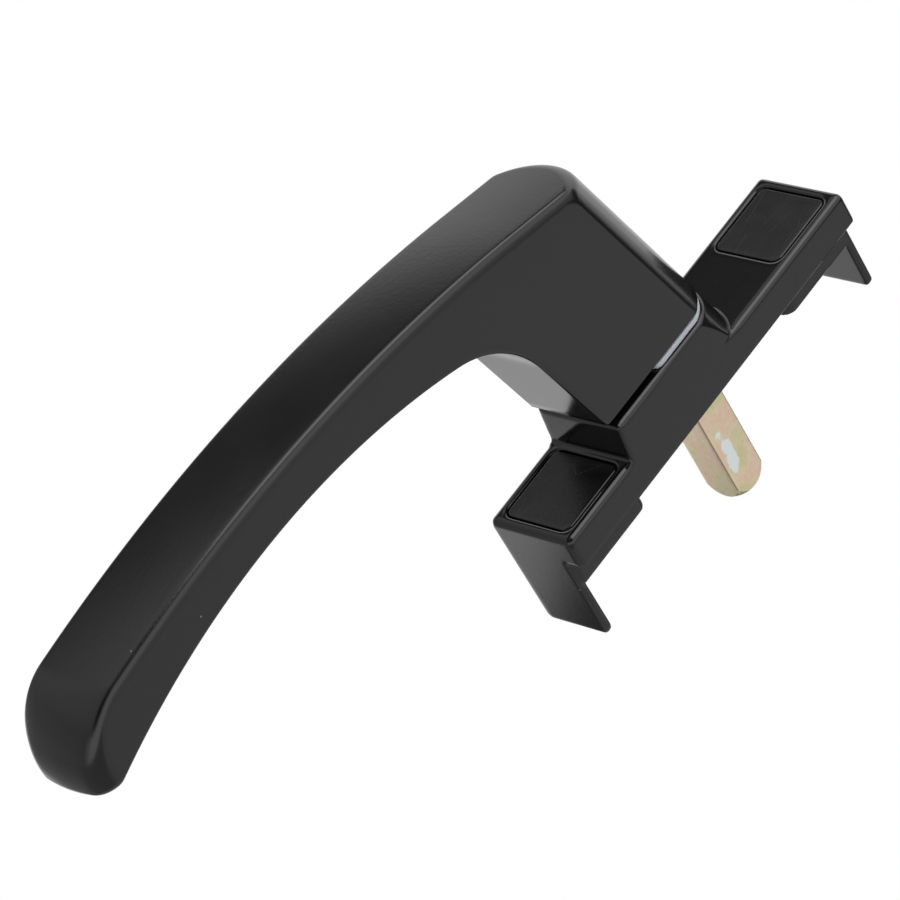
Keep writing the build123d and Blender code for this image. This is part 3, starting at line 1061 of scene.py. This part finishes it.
@dataclass
class ScrewCap:
    """A cap over a fixing screw: a crowned lid with a round edge, on a skirt that fits the recess."""

    node: str
    middle: float
    lid_length: float = 14.0
    lid_width: float = 13.5
    lid_corner: float = 1.3
    lid_top: float = 6.0
    crown: float = 0.06
    edge: float = 0.35
    skirt_length: float = 14.46
    skirt_width: float = 13.96
    skirt_corner: float = 1.8
    skirt_top: float = 4.4
    skirt_foot: float = 3.5
    middle_scale: float = 0.08
    lid_rows: int = 12
    edge_rows: int = 6
    corner_steps: int = 8

    def build(self, plastic: bpy.types.Material) -> bpy.types.Object:
        """Build the cap.

        Every row is an outline round the cap's middle. The lid's rows are the lid outline scaled up from the
        middle while the height falls with the square of the scale, then a quarter round drops them into the
        wall, and the skirt's rows follow the recess.

        Args:
            plastic: The black plastic.

        Returns:
            The finished piece.
        """
        lid = rounded_box_outline(self.lid_length, self.lid_width, self.lid_corner, self.corner_steps)
        flat = rounded_box_outline(
            self.lid_length - 2 * self.edge, self.lid_width - 2 * self.edge, self.lid_corner - self.edge,
            self.corner_steps,
        )
        skirt = rounded_box_outline(self.skirt_length, self.skirt_width, self.skirt_corner, self.corner_steps)
        scale = np.linspace(self.middle_scale, 1.0, self.lid_rows)[:, None, None]
        top = self.row(scale * flat, self.lid_top - self.crown * scale[..., 0] ** 2)
        turn = np.linspace(0.0, pi / 2, self.edge_rows + 1)[1:, None]
        drop = self.lid_top - self.crown - self.edge * (1 - np.cos(turn))
        edge = self.row(flat + (lid - flat) * np.sin(turn)[..., None], drop)
        below = np.stack([lid, skirt, skirt, self.middle_scale * skirt])
        heights = np.array([[self.skirt_top], [self.skirt_top], [self.skirt_foot], [self.skirt_foot]])
        piece = PieceMesh(self.node + "_moulding")
        grid = np.concatenate([top, edge, self.row(below, heights)])
        numbers = piece.add_grid(grid[::-1], closed_columns=True)
        piece.add_lid(numbers[-1])
        piece.add_lid(numbers[0][::-1])
        return piece.build(plastic, Slot.CAP_BLACK, Body.BASE, self.node)

    def row(self, outline: np.ndarray, height: np.ndarray) -> np.ndarray:
        """Put outlines at their heights, round the cap's middle."""
        height = np.broadcast_to(height, outline.shape[:-1])
        return np.stack([outline[..., 0] + self.middle, outline[..., 1], height], axis=-1)


@dataclass
class BearingBush:
    """The plastic bush: a flange with a round nose and two square back corners, on a sleeve in the bore."""

    nose: float = 8.6
    half_width: float = 8.2
    back: float = 8.0
    corner: float = 0.8
    corner_spread: float = 2.5
    corner_depth: float = 0.5
    low: float = 12.9
    high: float = 13.98
    edge: float = 0.2
    bore: float = 5.75
    sleeve: float = 6.35
    sleeve_low: float = 7.8
    steps: int = 96

    def flange_outline(self, grow: float) -> np.ndarray:
        """Work out the flange's plan as seen from the axis.

        At every angle in front the reach is the lesser of the nose circle and the side plane. Behind, it is
        the lesser of the side and the back plane, drawn in a little where the two are close, so the corner is
        soft.

        Args:
            grow: How far every reach moves out.

        Returns:
            Points (x, y), counter-clockwise.
        """
        angle = np.linspace(-pi, pi, self.steps, endpoint=False)
        side = self.half_width / np.maximum(np.abs(np.sin(angle)), TINY)
        back = self.back / np.maximum(-np.cos(angle), TINY)
        least = np.minimum(side, back)
        soft = np.clip(1.0 - np.abs(side - back) / (self.corner_spread * self.corner), 0.0, 1.0)
        front = np.minimum(side, self.nose)
        behind = least - self.corner_depth * self.corner * soft**2
        reach = np.where(np.cos(angle) > 0, front, behind) + grow
        return np.stack([reach * np.cos(angle), reach * np.sin(angle)], axis=-1)

    def circle(self, radius: float) -> np.ndarray:
        """Points round the axis at one radius."""
        angle = np.linspace(-pi, pi, self.steps, endpoint=False)
        return np.stack([radius * np.cos(angle), radius * np.sin(angle)], axis=-1)

    def build(self, plastic: bpy.types.Material) -> bpy.types.Object:
        """Build the bush.

        Its profile is carried round the axis: up the bore, out over the flange's top, down its rim with its
        bevelled edges, in under the flange and down the sleeve.

        Args:
            plastic: The grey plastic.

        Returns:
            The finished piece.
        """
        rim, inner = self.flange_outline(0.0), self.flange_outline(-self.edge)
        bore, sleeve = self.circle(self.bore), self.circle(self.sleeve)
        rows = np.stack([bore, bore, inner, rim, rim, inner, sleeve, sleeve])
        heights = np.array([
            self.sleeve_low, self.high, self.high, self.high - self.edge,
            self.low + self.edge, self.low, self.low, self.sleeve_low,
        ])
        levels = np.broadcast_to(heights[:, None, None], (*rows.shape[:2], 1))
        grid = np.concatenate([rows, levels], axis=-1)
        piece = PieceMesh("bearing_bush_moulding")
        piece.add_grid(grid[::-1], closed_rows=True, closed_columns=True)
        return piece.build(plastic, Slot.GREY_PLASTIC, Body.BASE, "bearing_bush", sharp=60.0)


@dataclass
class Spindle:
    """The square spindle: a square with rounded corners carried down the axis, its end turned to a dome."""

    side: float = 7.0
    corner: float = 0.4
    top: float = 24.0
    foot: float = -25.0
    middle_scale: float = 0.04
    corner_steps: int = 5
    wall_steps: int = 40
    dome_steps: int = 14

    def build(self, zinc: bpy.types.Material) -> bpy.types.Object:
        """Build the spindle.

        The dome is part of a ball through the square's corners: its height is the ball's centre less the root
        of the radius squared less the distance from the axis squared. Every wall runs from the top to the
        dome's height at its own distance, and the dome's rows are the outline scaled down to the axis.

        Args:
            zinc: The yellow zinc plating.

        Returns:
            The finished piece.
        """
        outline = rounded_box_outline(self.side, self.side, self.corner, self.corner_steps)
        radius = self.side / np.sqrt(2.0)
        scale = np.linspace(1.0, self.middle_scale, self.dome_steps)[:, None]
        dome = scale[..., None] * outline
        distance = np.hypot(dome[..., 0], dome[..., 1])
        fall = self.foot + radius - np.sqrt(np.maximum(radius**2 - distance**2, 0.0))
        share = steps_to(self.wall_steps)
        walls = np.broadcast_to(outline, (self.wall_steps, *outline.shape))
        heights = self.top + (fall[0] - self.top) * share
        outlines, levels = np.concatenate([walls, dome]), np.concatenate([heights, fall])
        grid = np.concatenate([outlines, levels[..., None]], axis=-1)
        piece = PieceMesh("spindle_bar")
        numbers = piece.add_grid(grid[::-1], closed_columns=True)
        piece.add_lid(numbers[-1])
        piece.add_lid(numbers[0][::-1])
        return piece.build(zinc, Slot.YELLOW_ZINC, Body.LEVER, "spindle", sharp=30.0)


@dataclass
class Studio:
    """White floor and a soft tent of light round the handle, in metres and in directions of length 1.

    The floor's pools of light run along Y, slanted by a part of X, with a painted shade on the left, a
    painted dark patch on the right and a painted shadow of the handle between them. The tent has a level for
    each height in front, on the right and on the left, and a soft box overhead.
    """

    floor_height: float = -0.14
    floor_size: float = 4.0
    floor_colour: Colour = (0.85, 0.85, 0.85)
    pool_slant: float = 0.5
    # The low levels from 0.02 to 0.084 are a painted shadow of the handle under it, seen only in gloss.
    floor_glow: Stops = (
        (-1.20, 0.90), (-0.35, 0.72), (-0.08, 0.72), (0.02, 0.30), (0.070, 0.08), (0.076, 0.20),
        (0.084, 0.75), (0.096, 1.0), (0.30, 1.0),
    )
    shade_left: Span = (-0.18, -0.22)
    shade_level: float = 0.42
    # Painted dark patch in the floor's gloss light on the right, where a dark card would stand.
    dark_patch_right: Span = (0.16, 0.22)
    dark_patch_front: Span = (-0.03, -0.10)
    dark_patch_end: Span = (-0.45, -0.35)
    dark_patch_level: float = 0.08
    front_heights: Stops = (
        (-1.0, 0.9), (-0.2, 1.2), (0.0, 1.5), (0.35, 1.5), (0.52, 0.40), (0.64, 0.06), (0.90, 0.06),
        (1.0, 0.5),
    )
    right_heights: Stops = (
        (-1.0, 0.9), (0.0, 1.2), (0.33, 1.3), (0.38, 0.75), (0.43, 0.36), (0.48, 0.11), (0.54, 0.07),
        (0.61, 0.09), (0.65, 0.35), (0.70, 0.9), (1.0, 0.9),
    )
    left_heights: Stops = ((-1.0, 0.9), (0.0, 0.5), (0.5, 0.5), (0.70, 0.65), (1.0, 0.6))
    turn_width: float = 0.25
    left_turn: Span = (0.28, 0.02)
    box_right: Span = (0.22, 0.34)
    box_front: Span = (-0.80, -0.62)
    box_back: Span = (0.10, -0.05)
    box_height: Span = (0.45, 0.58)
    box_level: float = 3.2
    tent_strength: float = 2.0

    def floor(self) -> bpy.types.Object:
        """Build the floor: one square below the spindle.

        Returns:
            The floor.
        """
        half = self.floor_size / 2
        corners = ((-half, -half), (half, -half), (half, half), (-half, half))
        mesh = bpy.data.meshes.new("floor")
        mesh.from_pydata([(x, y, self.floor_height) for x, y in corners], [], [(0, 1, 2, 3)])
        mesh.materials.append(self.floor_white())
        floor = add_object("floor", mesh)
        return floor

    def floor_white(self) -> bpy.types.Material:
        """Make the floor's finish: white to the camera, with pools of light that only gloss shows.

        Returns:
            The material.
        """
        material = bpy.data.materials.new("white_floor")
        material.use_nodes = True
        tree = ShaderTree(material.node_tree)
        seen = tree.node("LightPath")
        emission = tree.node("Emission", Strength=1.0)
        tree.join(tree.mix(seen.outputs["Is Camera Ray"], self.pools(tree), EVEN), emission.inputs["Color"])
        direct = tree.math("MAXIMUM", seen.outputs["Is Camera Ray"], seen.outputs["Is Glossy Ray"])
        direct = tree.math("MAXIMUM", direct, seen.outputs["Is Transmission Ray"])
        mix = tree.node("MixShader")
        tree.join(direct, mix.inputs[0])
        tree.join(tree.node("BsdfDiffuse", Color=(*self.floor_colour, 1.0)).outputs[0], mix.inputs[1])
        tree.join(emission.outputs[0], mix.inputs[2])
        tree.join(mix.outputs[0], tree.node("OutputMaterial").inputs["Surface"])
        return material

    def pools(self, tree: ShaderTree) -> Socket:
        """Work out the pools of light on the floor.

        Args:
            tree: The floor's tree.

        Returns:
            Their colour.
        """
        axes = tree.node("SeparateXYZ")
        tree.join(tree.place(), axes.inputs[0])
        across, along = axes.outputs["X"], axes.outputs["Y"]
        first, last = self.floor_glow[0][0], self.floor_glow[-1][0]
        run = tree.node("MapRange", From_Min=first, From_Max=last)
        tree.join(tree.math("MULTIPLY_ADD", across, self.pool_slant, along), run.inputs["Value"])
        stops = [((place - first) / (last - first), (level,) * 3) for place, level in self.floor_glow]
        # Painted dark patch: the floor's gloss light drops to its level here.
        dark_patch = tree.math("MULTIPLY", tree.band(across, *self.dark_patch_right), tree.band(along, *self.dark_patch_front))
        dark_patch = tree.math("MULTIPLY", dark_patch, tree.band(along, *self.dark_patch_end))
        shade = tree.band(across, *self.shade_left)
        glow = tree.mix(shade, tree.ramp(run.outputs[0], stops), (self.shade_level,) * 3)
        return tree.mix(dark_patch, glow, (self.dark_patch_level,) * 3)

    def world(self) -> None:
        """Light the world by direction: the tent for the handle, plain white for the camera."""
        world = bpy.data.worlds.new("light_tent")
        bpy.context.scene.world = world
        world.use_nodes = True
        tree = ShaderTree(world.node_tree)
        tent = tree.node("Background", Strength=self.tent_strength)
        tree.join(self.tent(tree), tent.inputs["Color"])
        white = tree.node("Background", Color=(*EVEN, 1.0), Strength=1.0)
        choice = tree.node("MixShader")
        tree.join(tree.node("LightPath").outputs["Is Camera Ray"], choice.inputs[0])
        tree.join(tent.outputs[0], choice.inputs[1])
        tree.join(white.outputs[0], choice.inputs[2])
        tree.join(choice.outputs[0], tree.node("OutputWorld").inputs["Surface"])

    def tent(self, tree: ShaderTree) -> Socket:
        """Work out the tent's light in every direction, as a part of its strength.

        Args:
            tree: The world's tree.

        Returns:
            Its colour.
        """
        direction = tree.node("SeparateXYZ")
        tree.join(tree.node("TexCoord").outputs["Generated"], direction.inputs[0])
        height = tree.math("MULTIPLY_ADD", direction.outputs["Z"], 0.5, 0.5)
        runs = []
        for heights in (self.front_heights, self.right_heights, self.left_heights):
            stops = [((z + 1) / 2, (level / self.tent_strength,) * 3) for z, level in heights]
            runs.append(tree.ramp(height, stops))
        front, right, left = runs
        back = tree.mix(tree.band(direction.outputs["X"], *self.left_turn), right, left)
        turn = tree.band(direction.outputs["Y"], -self.turn_width, self.turn_width)
        box = tree.band(direction.outputs["X"], *self.box_right)
        for axis, limit in (("Y", self.box_front), ("Y", self.box_back), ("Z", self.box_height)):
            box = tree.math("MULTIPLY", box, tree.band(direction.outputs[axis], *limit))
        return tree.mix(box, tree.mix(turn, front, back), (self.box_level / self.tent_strength,) * 3)


@dataclass
class PhotoCamera:
    """The photograph's camera: its place in metres, angles in degrees, lens and sensor in millimetres."""

    place: Triple = (-0.337579, -0.515323, 0.491690)
    azimuth: float = -29.813
    elevation: float = 37.907
    roll: float = -32.032
    lens: float = 200.0
    sensor: float = 36.0
    clip_end: float = 100.0

    def build(self) -> bpy.types.Object:
        """Place the camera and make it the scene's own.

        Returns:
            The camera.
        """
        turn, tilt, roll = radians(self.azimuth), radians(self.elevation), radians(self.roll)
        back = Vector((sin(turn) * cos(tilt), -cos(turn) * cos(tilt), sin(tilt)))
        level = Vector((cos(turn), sin(turn), 0.0))
        right = cos(roll) * level + sin(roll) * back.cross(level)
        up = back.cross(right)
        data = bpy.data.cameras.new("photo_camera")
        data.lens = self.lens
        data.sensor_width = self.sensor
        data.clip_end = self.clip_end
        camera = add_object("photo_camera", data)
        camera.matrix_world = Matrix.Translation(self.place) @ Matrix((right, up, back)).transposed().to_4x4()
        bpy.context.scene.camera = camera
        return camera


def dress(node: str, material: bpy.types.Material) -> None:
    """Give a CAD node its finish.

    Args:
        node: The node's name.
        material: The finish.
    """
    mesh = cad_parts[node].data
    mesh.materials.clear()
    mesh.materials.append(material)
    LOG.info("%s is finished in %s", node, material.name)


def main() -> None:
    """Build the studio and the handle."""
    logging.basicConfig(level=logging.INFO, format="%(name)s: %(message)s")
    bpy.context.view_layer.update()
    bpy.context.scene.view_settings.view_transform = "Standard"
    studio = Studio()
    studio.floor()
    studio.world()
    PhotoCamera().build()
    coat = BlackCoat().material()
    cap = CapPlastic().material()
    zinc = YellowZinc().material()
    plated = Steel(
        Slot.PLATED_STEEL, pale=(0.62, 0.63, 0.64), deep=(0.50, 0.50, 0.52), gloss_low=0.20, gloss_high=0.40
    ).material()
    bare = Steel(
        Slot.BARE_STEEL, pale=(0.50, 0.50, 0.51), deep=(0.38, 0.38, 0.39), gloss_low=0.25, gloss_high=0.45
    ).material()
    LeverCasting().build(coat)
    ScrewCap("lower_screw_cap", -HOLE_REACH).build(cap)
    ScrewCap("upper_screw_cap", HOLE_REACH).build(cap)
    Spindle().build(zinc)
    BaseCasting().build(BlackCoat(gloss_low=0.10, gloss_high=0.14, peel_depth=0.008).material())
    BearingBush().build(GreyPlastic().material())
    for node in ("cover_plate", "lower_plate_screw", "upper_plate_screw", "spindle_pin"):
        dress(node, plated)
    for node in ("index_cam", "lower_detent_spring", "upper_detent_spring", "thrust_washer", "snap_ring"):
        dress(node, bare)


if __name__ == "__main__":
    main()
